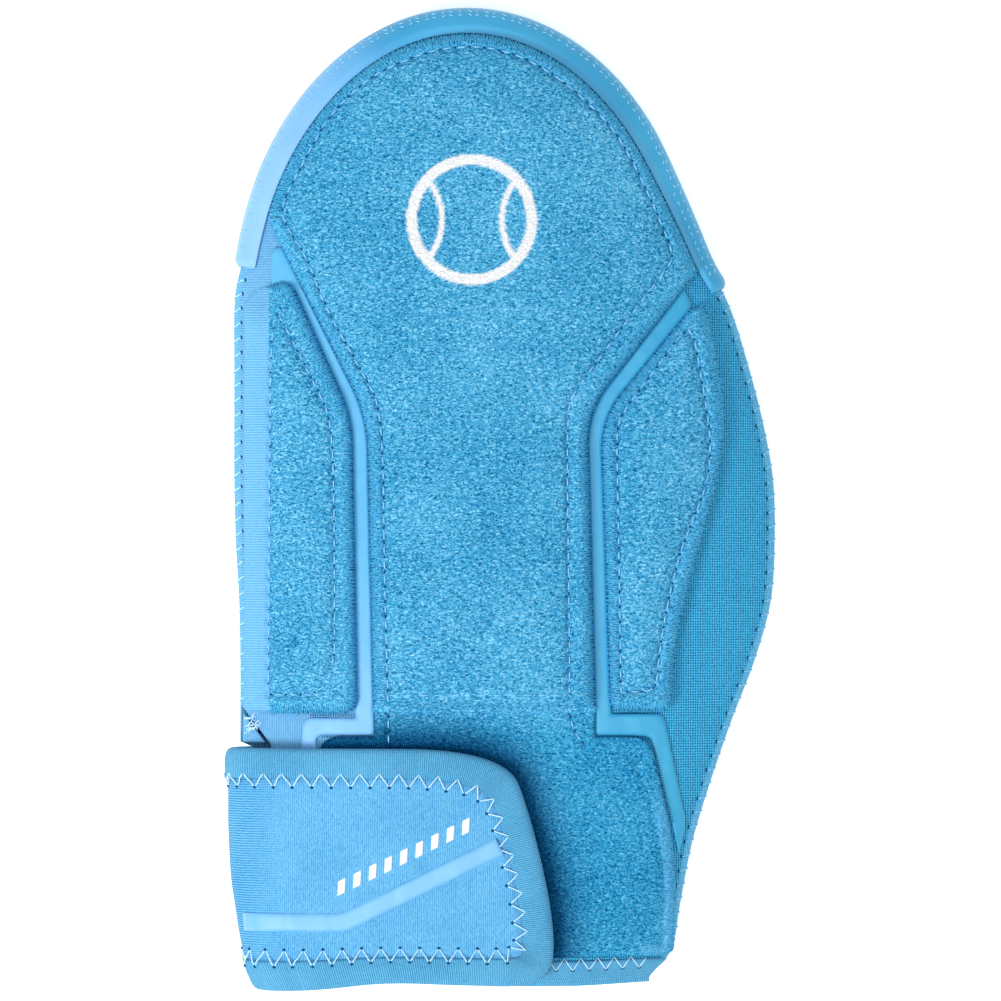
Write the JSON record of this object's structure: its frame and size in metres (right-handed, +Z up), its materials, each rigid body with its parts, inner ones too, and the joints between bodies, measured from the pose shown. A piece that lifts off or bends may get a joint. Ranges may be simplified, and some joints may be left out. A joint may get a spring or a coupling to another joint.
{
  "type": "sliding mitt",
  "caption": "Flat padded hand guard with a hollow for the hand, a rubber edge around the finger tips and a wrist strap that wraps over the front.",
  "frame": {"origin": "middle of the bounding box, on the surface that the mitt lies on", "axes": "+Y from the wrist to the finger tips, +Z up out of the padded front, +X to the thumb side"},
  "size_m": [0.1569, 0.28, 0.0337],
  "materials": {
    "knit_neoprene": "matt jersey knit bonded to foam rubber",
    "loop_pile": "fuzzy unbroken-loop fabric over foam",
    "knit_binding": "folded knit tape",
    "pressed_film": "smooth satin film",
    "edge_rubber": "satin moulded rubber",
    "hook_tape": "stiff hook tape"
  },
  "bodies": {
    "root": {"front_panel": "knit_neoprene", "back_panel": "knit_neoprene", "tip_bumper": "edge_rubber", "centre_pad": "loop_pile", "finger_side_pad": "loop_pile", "thumb_side_pad": "loop_pile", "wrist_landing": "loop_pile", "finger_side_film": "pressed_film", "thumb_side_film": "pressed_film", "corner_gusset": "knit_neoprene", "front_wrist_hem": "knit_binding", "back_wrist_hem": "knit_binding", "wrist_strap": "knit_neoprene", "strap_binding": "knit_binding", "strap_stripe": "pressed_film", "hook_patch": "hook_tape"}
  },
  "joints": []
}
